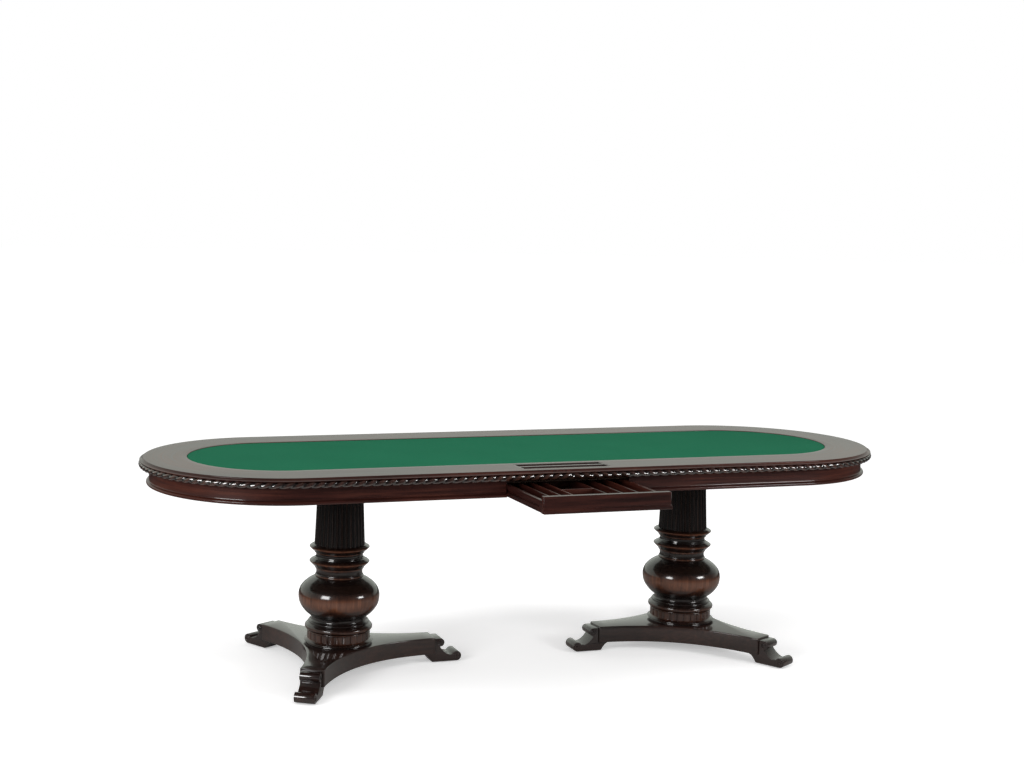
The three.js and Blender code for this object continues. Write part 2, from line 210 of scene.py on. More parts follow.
def stadium_outline(radius, steps=END_STEPS):
    half = math.pi / 2
    right = [(HALF_STRAIGHT + radius * math.cos(t), CENTRE_Y + radius * math.sin(t))
             for t in np.linspace(-half, half, steps + 1)]
    left = [(-x, 2 * CENTRE_Y - y) for x, y in right]
    return right + left


# ---- Lathe and boards ----
HOLLOW_DARKENING = 60        # how far the painted light and shade value falls for each metre that the surface is cut back, so flutes and reeds come out darker the deeper they are cut


def revolve(name, profile, relief=None, painted_light_and_shade=None, centre=(0, 0), steps=ROUND_STEPS, bore=0.0066, sharp=35):
    """Turns a (radius, height) profile, from the bottom up, round a vertical axis, with a bore down it.
    relief(z, angle) is how far the surface is cut back there; the next function gives the painted light and
    shade at each height, low for painted shade and high for a painted highlight, and cut-back places get
    lower values."""
    turned = list(profile)
    ring = [(bore, profile[-1][1]), (bore, profile[0][1])]
    full = turned + ring
    size = len(full)
    verts, grain, painted_light_and_shade_values = [], [], []
    for i in range(steps):
        angle = 2 * math.pi * i / steps
        for j, (radius, z) in enumerate(full):
            cut = relief(z, angle) if relief and j < len(turned) else 0.0
            r = radius - cut
            verts.append((centre[0] + r * math.cos(angle), centre[1] + r * math.sin(angle), z))
            grain.append((z, r * math.cos(angle), r * math.sin(angle)))
            painted_light_and_shade_values.append((painted_light_and_shade(z) if painted_light_and_shade else 0.5) - HOLLOW_DARKENING * cut)
    faces = []
    for i in range(steps):
        k = (i + 1) % steps
        for j in range(size):
            m = (j + 1) % size
            faces.append((i * size + j, k * size + j, k * size + m, i * size + m))
    return mesh_object(name, verts, faces, grain, painted_light_and_shade_values, sharp)


def bevelled_board(name, low, high, bevel=0.0015, axis=0, segments=2):
    """A board with eased edges, its grain along the given axis."""
    work = bmesh.new()
    bmesh.ops.create_cube(work, size=1)
    size = Vector(high) - Vector(low)
    centre = (Vector(high) + Vector(low)) / 2
    for v in work.verts:
        v.co = Vector((v.co.x * size.x, v.co.y * size.y, v.co.z * size.z)) + centre
    bmesh.ops.bevel(work, geom=work.edges[:], offset=bevel, segments=segments, profile=0.6, affect="EDGES")
    return from_bmesh(name, work, axis)


def from_bmesh(name, work, axis=0, sharp=40):
    mesh = bpy.data.meshes.new(name)
    work.to_mesh(mesh)
    work.free()
    obj = bpy.data.objects.new(name, mesh)
    bpy.context.scene.collection.objects.link(obj)
    add_grain(obj, axis)
    finish_mesh(obj, sharp)
    return obj


def add_grain(obj, axis):
    order = [axis, (axis + 1) % 3, (axis + 2) % 3]
    co = np.zeros(len(obj.data.vertices) * 3, np.float32)
    obj.data.vertices.foreach_get("co", co)
    co = co.reshape(-1, 3)[:, order]
    layer = obj.data.attributes.new("grain", "FLOAT_VECTOR", "POINT")
    layer.data.foreach_set("vector", np.ascontiguousarray(co).ravel())


def prism(name, outline, low, high, plane="XY", bevel=0.0, segments=3, axis=0):
    """An outline extruded from low to high along Z (plane XY), or along Y (plane XZ), with eased edges."""
    work = bmesh.new()
    lift = (lambda u, v, w: (u, v, w)) if plane == "XY" else (lambda u, v, w: (u, w, v))
    bottom = [work.verts.new(lift(u, v, low)) for u, v in outline]
    top = [work.verts.new(lift(u, v, high)) for u, v in outline]
    count = len(outline)
    work.faces.new(bottom)
    work.faces.new(list(reversed(top)))
    for i in range(count):
        k = (i + 1) % count
        work.faces.new((bottom[k], bottom[i], top[i], top[k]))
    bmesh.ops.recalc_face_normals(work, faces=work.faces)
    if bevel:
        rims = [e for e in work.edges
                if all(v in bottom for v in e.verts) or all(v in top for v in e.verts)]
        bmesh.ops.bevel(work, geom=rims, offset=bevel, segments=segments, profile=0.5, affect="EDGES",
                        clamp_overlap=True)
    return from_bmesh(name, work, axis)


# ---- Materials ----
class Nodes:
    """A short way to write the node tree of a material or a world."""

    def __init__(self, owner, shader="Principled BSDF"):
        owner.use_nodes = True
        self.owner = owner
        self.tree = owner.node_tree
        self.shader = self.tree.nodes[shader]

    def add(self, kind, inputs=None, **settings):
        node = self.tree.nodes.new("ShaderNode" + kind)
        for key, value in settings.items():
            setattr(node, key, value)
        for key, value in (inputs or {}).items():
            if isinstance(value, bpy.types.NodeSocket):
                self.tree.links.new(value, node.inputs[key])
            else:
                node.inputs[key].default_value = value
        return node

    def attribute(self, name):
        return self.add("Attribute", attribute_name=name)

    def noise(self, vector, scale, detail=4.0, roughness=0.55, stretch=(1, 1, 1)):
        mapped = self.add("Mapping", {"Vector": vector, "Scale": stretch})
        return self.add("TexNoise", {"Vector": mapped.outputs["Vector"], "Scale": scale, "Detail": detail,
                                     "Roughness": roughness}).outputs["Fac"]

    def ramp(self, value, stops):
        node = self.add("ValToRGB", {"Fac": value})
        elements = node.color_ramp.elements
        while len(elements) < len(stops):
            elements.new(0.5)
        for element, (place, colour) in zip(elements, stops):
            element.position = place
            element.color = (*colour, 1)
        return node.outputs["Color"]

    def math(self, operation, a, b=0.0):
        return self.add("Math", {0: a, 1: b}, operation=operation).outputs[0]

    def mix(self, factor, a, b, blend="MIX"):
        node = self.add("Mix", data_type="RGBA", blend_type=blend)
        for socket, value in ((node.inputs[0], factor), (node.inputs[6], a), (node.inputs[7], b)):
            if isinstance(value, bpy.types.NodeSocket):
                self.tree.links.new(value, socket)
            else:
                socket.default_value = value if not isinstance(value, tuple) else (*value, 1)
        return node.outputs[2]

    def link(self, output, socket):
        self.tree.links.new(output, self.shader.inputs[socket])

    def bump(self, height, strength, distance, normal=None):
        inputs = {"Height": height, "Strength": strength, "Distance": distance}
        if normal is not None:
            inputs["Normal"] = normal
        return self.add("Bump", inputs).outputs["Normal"]


def stained_wood(name, dark, middle, light, coat=1.0, coat_roughness=0.08, painted_highlight_colour=None, specular=0.15,
                 coat_ior=1.5):
    """Stained and lacquered hardwood: long fine streaks, darker pores and a clear glossy coat. Given a
    painted highlight colour, it also paints shade and highlights from each vertex's painted light and shade
    value.
    """
    n = Nodes(bpy.data.materials.new(name))
    along = n.attribute("grain").outputs["Vector"]
    cloud = n.noise(along, 3.0, 3.0, 0.5, (0.6, 2.0, 2.0))
    streak = n.noise(along, 30.0, 6.0, 0.62, (0.12, 3.2, 3.2))
    fine = n.noise(along, 160.0, 4.0, 0.7, (0.06, 4.0, 4.0))
    mixed = n.math("ADD", n.math("MULTIPLY", cloud, 0.45), n.math("MULTIPLY", streak, 0.55))
    colour = n.ramp(mixed, [(0.36, dark), (0.52, middle), (0.68, light)])
    pores = n.ramp(fine, [(0.36, (0.35, 0.3, 0.3)), (0.50, (1, 1, 1))])
    colour = n.mix(0.75, colour, pores, "MULTIPLY")
    # Painted shade: low painted light and shade values darken the wood towards near black. Painted highlight:
    # values above 0.6 blend in the painted highlight colour.
    if painted_highlight_colour is not None:
        painted_light_and_shade = n.attribute("painted_light_and_shade").outputs["Fac"]
        colour = n.mix(painted_light_and_shade, n.mix(1.0, colour, (0.05, 0.045, 0.055), "MULTIPLY"), colour)
        colour = n.mix(n.math("MULTIPLY", n.math("SUBTRACT", painted_light_and_shade, 0.6), 1.6), colour,
                       n.mix(streak, colour, painted_highlight_colour))
    n.link(colour, "Base Color")
    rough = n.add("MapRange", {"Value": streak, "To Min": 0.34, "To Max": 0.50})
    n.link(rough.outputs["Result"], "Roughness")
    n.link(n.bump(fine, 0.18, 0.0004), "Normal")
    ripple = n.noise(along, 14.0, 2.0, 0.5, (0.5, 1.0, 1.0))
    n.link(n.bump(ripple, 0.10, 0.0012), "Coat Normal")
    n.shader.inputs["Coat Weight"].default_value = coat
    n.shader.inputs["Coat Roughness"].default_value = coat_roughness
    n.shader.inputs["Coat IOR"].default_value = coat_ior
    n.shader.inputs["Specular IOR Level"].default_value = specular
    return n.owner


def plain_wood(name, dark, light, use_object=False):
    """Unstained timber or plywood, sawn and sanded, with no gloss."""
    n = Nodes(bpy.data.materials.new(name))
    if use_object:
        along = n.add("TexCoord").outputs["Object"]
    else:
        along = n.attribute("grain").outputs["Vector"]
    streak = n.noise(along, 26.0, 6.0, 0.6, (0.15, 3.0, 3.0))
    fibre = n.noise(along, 200.0, 3.0, 0.6, (0.08, 3.0, 3.0))
    n.link(n.mix(0.5, n.ramp(streak, [(0.3, dark), (0.7, light)]),
                 n.ramp(fibre, [(0.3, (0.6, 0.55, 0.5)), (0.7, (1, 1, 1))]), "MULTIPLY"), "Base Color")
    n.link(n.add("MapRange", {"Value": fibre, "To Min": 0.55, "To Max": 0.8}).outputs["Result"], "Roughness")
    n.link(n.bump(fibre, 0.25, 0.0004), "Normal")
    return n.owner


def felt_cloth(name, deep, light):
    """Short-napped wool cloth: a fine fibre mottle, a soft bump and a sheen."""
    n = Nodes(bpy.data.materials.new(name))
    place = n.add("TexCoord").outputs["Object"]
    cloud = n.noise(place, 5.0, 3.0, 0.5)
    fibre = n.noise(place, 900.0, 3.0, 0.65)
    nap = n.noise(place, 2600.0, 2.0, 0.6, (1.0, 0.55, 1.0))
    mixed = n.math("ADD", n.math("MULTIPLY", cloud, 0.18), n.math("MULTIPLY", fibre, 0.82))
    n.link(n.ramp(mixed, [(0.30, deep), (0.70, light)]), "Base Color")
    n.link(n.add("MapRange", {"Value": fibre, "To Min": 0.82, "To Max": 0.98}).outputs["Result"], "Roughness")
    n.link(n.bump(nap, 0.35, 0.0005, n.bump(fibre, 0.30, 0.0008)), "Normal")
    n.shader.inputs["Sheen Weight"].default_value = 0.02
    n.shader.inputs["Sheen Roughness"].default_value = 0.45
    n.shader.inputs["Sheen Tint"].default_value = (0.35, 0.85, 0.55, 1)
    n.shader.inputs["Specular IOR Level"].default_value = 0.02
    return n.owner


def plated_steel(name):
    n = Nodes(bpy.data.materials.new(name))
    place = n.add("TexCoord").outputs["Object"]
    scuff = n.noise(place, 300.0, 4.0, 0.6)
    n.link(n.ramp(scuff, [(0.3, (0.40, 0.41, 0.43)), (0.7, (0.62, 0.63, 0.65))]), "Base Color")
    n.link(n.add("MapRange", {"Value": scuff, "To Min": 0.25, "To Max": 0.45}).outputs["Result"], "Roughness")
    n.shader.inputs["Metallic"].default_value = 1.0
    return n.owner


def pad_material(name):
    n = Nodes(bpy.data.materials.new(name))
    place = n.add("TexCoord").outputs["Object"]
    fibre = n.noise(place, 1200.0, 3.0, 0.6)
    n.link(n.ramp(fibre, [(0.3, (0.015, 0.015, 0.015)), (0.7, (0.05, 0.045, 0.04))]), "Base Color")
    n.link(n.bump(fibre, 0.4, 0.0005), "Normal")
    n.shader.inputs["Roughness"].default_value = 0.9
    return n.owner


RAIL = stained_wood("mahogany_rail", (0.012, 0.0036, 0.0030), (0.035, 0.0092, 0.0066),
                    (0.072, 0.0200, 0.0120), coat=0.55, coat_roughness=0.12, specular=0.1)
DARK = stained_wood("espresso_carving", (0.007, 0.0032, 0.0026), (0.021, 0.0088, 0.0062),
                    (0.044, 0.017, 0.011), coat_roughness=0.08, specular=0.4)
SCROLL = stained_wood("espresso_scroll", (0.005, 0.0020, 0.0017), (0.015, 0.0056, 0.0042),
                      (0.034, 0.012, 0.008), coat_roughness=0.10, specular=0.15, coat_ior=1.7)
# The turned and rope woods take a painted highlight colour: with their painted light and shade values they
# get painted highlights on bulbs, edges and rope crests, and painted shade, near black, elsewhere.
TURNED = stained_wood("espresso_turning", (0.022, 0.008, 0.0055), (0.060, 0.021, 0.011), (0.11, 0.040, 0.019),
                      coat_roughness=0.13, painted_highlight_colour=(0.21, 0.076, 0.034), coat_ior=1.6)
ROPE = stained_wood("espresso_rope", (0.022, 0.008, 0.0055), (0.060, 0.021, 0.013), (0.11, 0.040, 0.024),
                    coat_roughness=0.15, painted_highlight_colour=(0.25, 0.13, 0.10), coat_ior=2.1)
PLY = plain_wood("stained_panel", (0.035, 0.018, 0.011), (0.085, 0.047, 0.028))
PLY_NODE = plain_wood("stained_block", (0.035, 0.018, 0.011), (0.085, 0.047, 0.028), use_object=True)
FELT = felt_cloth("green_cloth", (0.006, 0.084, 0.042), (0.012, 0.122, 0.062))
STEEL = plated_steel("plated_steel")
PAD = pad_material("floor_pad")


# ---- The top ----
def rail_profile(tray_inner, tray_outer):
    """The rail's section from its inner bottom edge, out, up the moulded edge and back across the top."""
    inner = FELT_RADIUS + 0.0006
    flat_end = END_RADIUS - 0.018
    edge = END_RADIUS - 0.003
    lip = ROPE_Z + ROPE_RADIUS + 0.0003
    ease = 0.0016
    bottom = [(inner, RAIL_BOTTOM), (tray_inner, RAIL_BOTTOM), (tray_outer, RAIL_BOTTOM),
              (PANEL_RADIUS, RAIL_BOTTOM), (PANEL_RADIUS, lip)]
    mould = [(edge - 0.0008, lip), (edge, lip + 0.0008), (edge, lip + 0.0022)]
    mould += [(edge - 0.0012, lip + 0.0030)]
    mould += smooth_curve([(edge - 0.0018, lip + 0.0031), (edge - 0.0050, lip + 0.0042),
                           (edge - 0.0078, lip + 0.0068), (edge - 0.0095, lip + 0.0085)], 4)
    mould += arc(flat_end + 0.0010, TABLE_TOP - 0.0034, 0.0034, 8, 90, 6)
    top = [(flat_end, TABLE_TOP), (tray_outer, TABLE_TOP), (tray_inner, TABLE_TOP)]
    top += arc(inner + ease, TABLE_TOP - ease, ease, 90, 180, 4)
    return bottom, mould, top


def make_rail():
    tray_low, tray_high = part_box("chip_tray")
    gap = 0.0003
    cut_x = tray_high.x + gap
    tray_inner = CENTRE_Y - tray_high.y - gap
    tray_outer = CENTRE_Y - tray_low.y + gap
    bottom, mould, top = rail_profile(tray_inner, tray_outer)
    profile = bottom + mould + top
    low_face = 1
    high_face = len(bottom) + len(mould) + 1
    stations = stadium_stations([cut_x])
    count = len(stations)
    cut_stations = [i for i, s in enumerate(stations)
                    if abs(s[0]) < cut_x - 1e-6 and math.sin(s[1]) < -0.99]
    first = max(i for i in cut_stations if stations[i][0] >= 0) + 1
    last = min((i for i in cut_stations if stations[i][0] < 0), default=count) - 1
    inside = set(range(first)) | set(range(last, count))
    skip = lambda i, j: i in inside and j in (low_face, high_face)
    verts, faces, grain = sweep(profile, stations, skip=skip)
    size = len(profile)
    a, b, c, d = low_face, low_face + 1, high_face, high_face + 1
    for i in sorted(inside):
        k = (i + 1) % count
        faces.append((i * size + a, k * size + a, k * size + d, i * size + d))
        faces.append((i * size + c, k * size + c, k * size + b, i * size + b))
    for i in (first, last):
        faces.append(tuple(i * size + j for j in (a, b, c, d)))
    rail = mesh_object("rail", verts, faces, grain, sharp=30)
    dress(rail, RAIL, TABLE, "rail_wood", "rail_front", "rail_back", "rail_left_end", "rail_right_end")


def make_rope():
    """A twisted rope moulding of two strands, laid mirror fashion from the middle of each long side."""
    lobes, strands, steps_per_lobe, around = 192, 2, 14, 28
    depth, lead, facing = 0.34, 0.12, math.radians(20)
    straight, bend = 2 * HALF_STRAIGHT, math.pi * ROPE_CENTRE_RADIUS
    total = 2 * (straight + bend)
    count = lobes * steps_per_lobe
    quarter = math.pi / 2
    verts, grain, painted_light_and_shade_values = [], [], []
    for i in range(count):
        s = total * i / count
        if s <= straight / 2:
            x, angle = s, -quarter
        elif s <= straight / 2 + bend:
            x, angle = HALF_STRAIGHT, -quarter + (s - straight / 2) / ROPE_CENTRE_RADIUS
        elif s <= 1.5 * straight + bend:
            x, angle = straight + bend - s, quarter
        elif s <= 1.5 * straight + 2 * bend:
            x, angle = -HALF_STRAIGHT, quarter + (s - 1.5 * straight - bend) / ROPE_CENTRE_RADIUS
        else:
            x, angle = s - total, -quarter
        along = min(s, total - s) / total * lobes
        for j in range(around):
            turn = 2 * math.pi * j / around
            phase = along - lead + strands * (turn - facing) / (2 * math.pi)
            swell = abs(math.sin(math.pi * phase)) ** 0.75
            radius = ROPE_RADIUS * (1 - depth * (1 - swell))
            r = ROPE_CENTRE_RADIUS + radius * math.cos(turn)
            verts.append(station_point((x, angle, s), r, ROPE_Z + radius * math.sin(turn)))
            grain.append((s, radius * math.cos(turn), radius * math.sin(turn)))
            # Painted light and shade: near black painted shade in the grooves between lobes, rising to the
            # base colour with a touch of painted highlight on each crest.
            painted_light_and_shade_values.append(0.02 + 0.62 * swell ** 3)
    faces = []
    for i in range(count):
        k = (i + 1) % count
        for j in range(around):
            m = (j + 1) % around
            faces.append((i * around + j, k * around + j, k * around + m, i * around + m))
    rope = mesh_object("rope_moulding", verts, faces, grain, painted_light_and_shade_values, sharp=60)
    dress(rope, ROPE, TABLE, "dark_wood", "rope_moulding_front", "rope_moulding_back",
          "rope_moulding_left_end", "rope_moulding_right_end")


def skirt_profile(outer, inner, bottom, top):
    """The skirt's section: a flat face with a rounded lip along the bottom. outer is the lip's reach."""
    face = outer - LIP_PROJECTION
    lip = arc(outer - 0.0062, bottom + 0.0064, 0.0062, -84, 70, 12)
    cove = smooth_curve([(outer - 0.0062, bottom + 0.0129), (face + 0.0012, bottom + 0.0139),
                         (face + 0.0002, bottom + LIP_HEIGHT - 0.001)], 4)
    ease = [(face, top - 0.001), (face - 0.001, top)]
    return [(inner, bottom), *lip, *cove, *ease, (inner, top)]


def make_skirt():
    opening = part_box("apron_front_right")[0].x
    profile = skirt_profile(SKIRT_OUTER, SKIRT_INNER, skirt_low.z, skirt_high.z)
    stations = [s for s in stadium_stations([opening])
                if not (abs(s[0]) < opening - 1e-6 and math.sin(s[1]) < -0.99)]
    verts, faces, grain = sweep(profile, stations, closed=False)
    skirt = mesh_object("apron", verts, faces, grain, sharp=30)
    dress(skirt, RAIL, TABLE, "rail_wood", "apron_front_left", "apron_front_right", "apron_back",
          "apron_left_end", "apron_right_end")


def make_panel():
    outline = stadium_outline(PANEL_RADIUS)
    panel = prism("top_board", outline, panel_low.z, panel_high.z, bevel=0.0006, segments=1)
    dress(panel, PLY, TABLE, "hidden_wood", "top_panel")
    low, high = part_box("playfield_board")
    outline = stadium_outline((high.y - low.y) / 2)
    board = prism("playing_board", outline, low.z, high.z, bevel=0.001, segments=1)
    dress(board, PLY, TABLE, "hidden_wood", "playfield_board")


def make_felt():
    """The cloth: a thin sheet stretched flat on its board, with its edge turned down at the rail."""
    rings = 20
    outline_stations = stadium_stations()
    count = len(outline_stations)
    top_z = felt_high.z
    levels = [(FELT_RADIUS, felt_low.z), (FELT_RADIUS, top_z - 0.0014),
              (FELT_RADIUS - 0.0004, top_z - 0.0006), (FELT_RADIUS - 0.0014, top_z - 0.0001)]
    levels += [(FELT_RADIUS * (1 - k / rings), top_z) for k in range(1, rings + 1)]
    work = bmesh.new()
    rows = [[work.verts.new(station_point(s, radius, z)) for s in outline_stations] for radius, z in levels]
    rows.insert(0, [work.verts.new(station_point(s, 0.0, felt_low.z)) for s in outline_stations])
    for upper, lower in zip(rows[1:], rows[:-1]):
        for i in range(count):
            k = (i + 1) % count
            work.faces.new((lower[i], lower[k], upper[k], upper[i]))
    bmesh.ops.remove_doubles(work, verts=work.verts, dist=1e-5)
    bmesh.ops.dissolve_degenerate(work, edges=work.edges, dist=1e-6)
    cloth = from_bmesh("playing_cloth", work, sharp=50)
    dress(cloth, FELT, TABLE, "green_felt", "playing_felt")


def make_chip_tray():
    """The dealer's tray: a block with two rounded troughs, eased along its top edges."""
    low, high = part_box("chip_tray")
    wall = 0.005
    trough_width, trough_depth, spacing = 0.037, 0.014, 0.048
    radius = (trough_width ** 2 / 4 + trough_depth ** 2) / (2 * trough_depth)
    middle = (low.y + high.y) / 2
    top = TABLE_TOP - 0.0003
    reach = math.degrees(math.asin(trough_width / 2 / radius))

    def section(share):
        """The tray's top line across its width, with the troughs at a share of their full depth."""
        line = [(low.y, low.z), (low.y, top - 0.0008), (low.y + 0.0008, top)]
        for side in (-1, 1):
            centre = middle + side * spacing / 2
            dip = arc(centre, 0, radius, -90 - reach, -90 + reach, 20)
            rim = dip[0][1]
            line.append((dip[0][0] - 0.0012, top))
            line += [(y, top - 0.0003 + (z - rim) * share) for y, z in dip]
            line.append((dip[-1][0] + 0.0012, top))
        return line + [(high.y - 0.0008, top), (high.y, top - 0.0008), (high.y, low.z)]

    inner = high.x - wall
    places = [(high.x, 0.0, 0.0008), (high.x - 0.0008, 0.0, 0.0), (inner + 0.0008, 0.0, 0.0),
              (inner + 0.0002, 0.03, 0.0), (inner, 0.12, 0.0), (inner - 0.0004, 0.96, 0.0),
              (inner - 0.0020, 1.0, 0.0)]
    middle_places = [(x, 1.0, 0.0) for x in np.linspace(0.1, -0.1, 5)]
    far_places = [(-x, share, drop) for x, share, drop in reversed(places)]
    rows = []
    for x, share, drop in places + middle_places + far_places:
        rows.append([(x, y, max(low.z, z - drop) if z > low.z else z) for y, z in section(share)])
    verts, faces = loft(rows)
    tray = mesh_object("dealer_chip_tray", verts, faces, verts, sharp=40)
    dress(tray, DARK, TABLE, "dark_wood", "chip_tray")


# ---- The drawer ----
def make_drawer_front():
    low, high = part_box("drawer_front")
    profile = [(CENTRE_Y - r, z) for r, z in
               skirt_profile(CENTRE_Y - low.y, CENTRE_Y - high.y, low.z, high.z)]
    ease = 0.0012
    ends = [(high.x, ease), (high.x - 0.0004, 0.0004), (high.x - ease, 0.0), (high.x - 2 * ease, 0.0)]
    places = ends + [(x, 0.0) for x in np.linspace(0.9 * high.x, -0.9 * high.x, 9)]
    places += [(-x, inset) for x, inset in reversed(ends)]
    middle_y, middle_z = (low.y + high.y) / 2, (low.z + high.z) / 2
    rows = []
    for x, inset in places:
        row = []
        for y, z in profile:
            dy = max(-inset, min(inset, middle_y - y))
            dz = max(-inset, min(inset, middle_z - z))
            row.append((x, y + dy, z + dz))
        rows.append(row)
    verts, faces = loft(rows)
    front = mesh_object("drawer_face", verts, faces, verts, sharp=40)
    dress(front, RAIL, DRAWER, "dark_wood", "drawer_front")


def make_drawer_side(name, side):
    """A drawer side with the runner's groove in its outer face, stopped short of the front."""
    low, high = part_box(name)
    outer, inner = (high.x, low.x) if side > 0 else (low.x, high.x)
    depth, groove_low, groove_high = 0.006, 0.682, 0.695
    groove_stop = low.y + 0.020
    top = high.z
    r = 0.0016
    thick = abs(outer - inner)
    quarter = np.linspace(0, math.pi / 2, 4)

    def section(share):
        cut = depth * share
        line = [(0.0, low.z), (0.0, groove_low), (cut, groove_low + 0.0002), (cut, groove_high - 0.0002),
                (0.0, groove_high)]
        line += [(r - r * math.cos(a), top - r + r * math.sin(a)) for a in quarter]
        line += [(thick - r + r * math.sin(a), top - r + r * math.cos(a)) for a in quarter]
        return line + [(thick, low.z)]

    rows = []
    for y, share in ((low.y, 0.0), (groove_stop - 0.0004, 0.0), (groove_stop, 1.0),
                     ((groove_stop + high.y) / 2, 1.0), (high.y, 1.0)):
        rows.append([(outer - side * u, y, z) for u, z in section(share)])
    verts, faces = loft(rows)
    grain = [(y, x, z) for x, y, z in verts]
    board = mesh_object(name + "_board", verts, faces, grain, sharp=40)
    dress(board, RAIL, DRAWER, "dark_wood", name)


def make_drawer():
    make_drawer_front()
    make_drawer_side("drawer_side_left", -1)
    make_drawer_side("drawer_side_right", 1)
    for node, axis, material, slot_name in (
            ("drawer_back", 0, RAIL, "dark_wood"), ("drawer_bottom", 0, PLY, "hidden_wood"),
            ("drawer_cross_divider", 0, RAIL, "dark_wood")):
        low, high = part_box(node)
        dress(bevelled_board(node + "_board", low, high, 0.0012, axis), material, DRAWER, slot_name, node)
    for side in ("left", "right"):
        for index in (1, 2, 3):
            node = f"drawer_divider_{side}_{index}"
            low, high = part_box(node)
            dress(bevelled_board(node + "_board", low, high, 0.0018, 1, 3), RAIL, DRAWER, "dark_wood", node)


# ---- Pedestals ----
FLUTES = 32
FLUTE_DEPTH = 0.0046
FLUTE_MARGIN, FLUTE_FADE = 0.012, 0.008
REEDS = 26
REED_DEPTH = 0.0034


def shaft_relief(top):
    """Hollow flutes with narrow fillets between them, running out at the bottom and fading near the top."""
    def relief(z, angle):
        share = (angle * FLUTES / (2 * math.pi)) % 1.0
        across = abs(share - 0.5) / 0.40
        hollow = math.sqrt(max(0.0, 1 - across * across))
        fade = min(1.0, max(0.0, (top - z - FLUTE_MARGIN) / FLUTE_FADE))
        return FLUTE_DEPTH * hollow * fade
    return relief


def drum_relief(bottom, top):
    """Rounded reeds side by side round the drum."""
    def relief(z, angle):
        if not bottom < z < top:
            return 0.0
        share = (angle * REEDS / (2 * math.pi)) % 1.0
        return REED_DEPTH * (1 - math.sin(math.pi * share)) ** 2.6
    return relief


# Painted light and shade on the reeded ring: lighter over the reeds, a thin painted highlight line near the
# top edge, and near black painted shade at the foot and between.
def drum_painted_light_and_shade(z):
    return between([(92, 0.05), (101, 0.25), (106, 0.10), (110, 0.62), (134, 0.62), (136, 0.10), (138, 0.70),
                    (141, 0.20)], z)


def column_profile(bottom, top):
    mm = lambda pairs: [(r / 1000, z / 1000) for r, z in pairs]
    ring = [(107, 141.3), (108.5, 142.0)] + smooth_curve(
        [(112, 142.6), (117, 145.5), (118.5, 150), (117.5, 155), (113, 160), (108, 163)], 4)
    step = [(107, 164.2), (105.5, 165)]
    step += smooth_curve([(106, 166), (107, 168.5), (105, 171.5), (101, 173)], 4)
    neck = smooth_curve([(99, 175), (97, 179), (97, 184), (99, 189), (102, 192)], 4)
    bulb = smooth_curve([(103.5, 192.5), (110, 197.5), (120, 207), (131, 221), (139, 237), (142, 254),
                         (141.5, 270), (136, 286), (126, 299), (112, 311), (99, 319), (88, 325.5)], 6)
    bead = smooth_curve([(82.5, 327), (84, 328.5), (85, 331), (84, 333.5), (82.2, 335)], 4)
    low_neck = smooth_curve([(81.5, 337), (81, 343), (81.5, 350), (84, 357)], 4)
    low_fillet = [(86, 358), (86, 360)]
    low_collar = smooth_curve([(87.5, 362), (93, 368), (100, 374.5), (105, 380)], 4)
    low_back = [(105, 381.6)] + smooth_curve([(101.5, 384.2), (95, 387.6), (90, 391)], 4)
    high_neck = [(86, 392), (85.5, 394)] + smooth_curve([(83, 396), (82, 401), (82.5, 407), (85, 411)], 4)
    high_fillet = [(87, 412), (87, 414)]
    high_collar = smooth_curve([(88.5, 416), (94, 421), (100, 426), (105, 431)], 4)
    high_back = [(105, 432.6)] + smooth_curve([(101.5, 435), (96, 437.5), (91, 440)], 4)
    points = mm(ring + step + neck + bulb + bead + low_neck + low_fillet + low_collar + low_back + high_neck
                + high_fillet + high_collar + high_back)
    points[0] = (points[0][0], bottom)
    points[-1] = (points[-1][0], top)
    return points


def between(stops, z):
    """Reads a value at a height in millimetres from (height, value) stops."""
    heights, values = zip(*stops)
    return float(np.interp(z * 1000, heights, values))


COLUMN_PAINTED_LIGHT_AND_SHADE = [(141, 0.10), (149, 0.60), (152, 0.60), (158, 0.08), (190, 0.0), (204, 0.05), (216, 0.35),
                (230, 0.76), (250, 0.94), (266, 0.88), (279, 0.46), (290, 0.10), (325, 0.0), (329, 0.45),
                (332, 0.80), (335, 0.10), (352, 0.04), (357.5, 0.7), (360, 0.7), (361, 0.05), (373, 0.10),
                (378, 0.85), (382, 0.85), (386, 0.10), (391, 0.02), (410, 0.02), (411.5, 0.7), (414, 0.7),
                (415, 0.05), (424, 0.10), (429, 0.85), (433, 0.85), (437, 0.10)]


def column_painted_light_and_shade(z):
    """Painted light and shade up the column: a painted lit band round the bulb's widest part, painted
    highlight lines on the ring, bead, fillets and collar edges, and painted shade, near black, elsewhere.
    """
    return between(COLUMN_PAINTED_LIGHT_AND_SHADE, z)


def slab_outline(reach, half_width, waist):
    """Three legs with hollow curved sides between them. Leg 0 points along +X."""
    points = []
    for leg in range(3):
        turn = Matrix.Rotation(leg * 2 * math.pi / 3, 2)
        onward = Matrix.Rotation((leg + 1) * 2 * math.pi / 3, 2)
        ease = 0.003
        points.append(turn @ Vector((reach - ease, -half_width)))
        points.append(turn @ Vector((reach, -half_width + ease)))
        points.append(turn @ Vector((reach, half_width - ease)))
        start = turn @ Vector((reach - ease, half_width))
        end = onward @ Vector((reach - ease, -half_width))
        middle = (start + end) / 2
        control = middle.normalized() * (2 * waist - middle.length)
        for t in np.linspace(0, 1, 29)[:-1]:
            points.append((1 - t) ** 2 * start + 2 * t * (1 - t) * control + t * t * end)
    return [tuple(p) for p in points]


TOUCH_GAP = 0.0003
SLAB_REACH = 0.348
FOOT_SHARP = 35
UPPER_ROLL = (0.370, 0.0718, 0.0145)
TOE_REACH, TOE_RADIUS = 0.432, 0.017


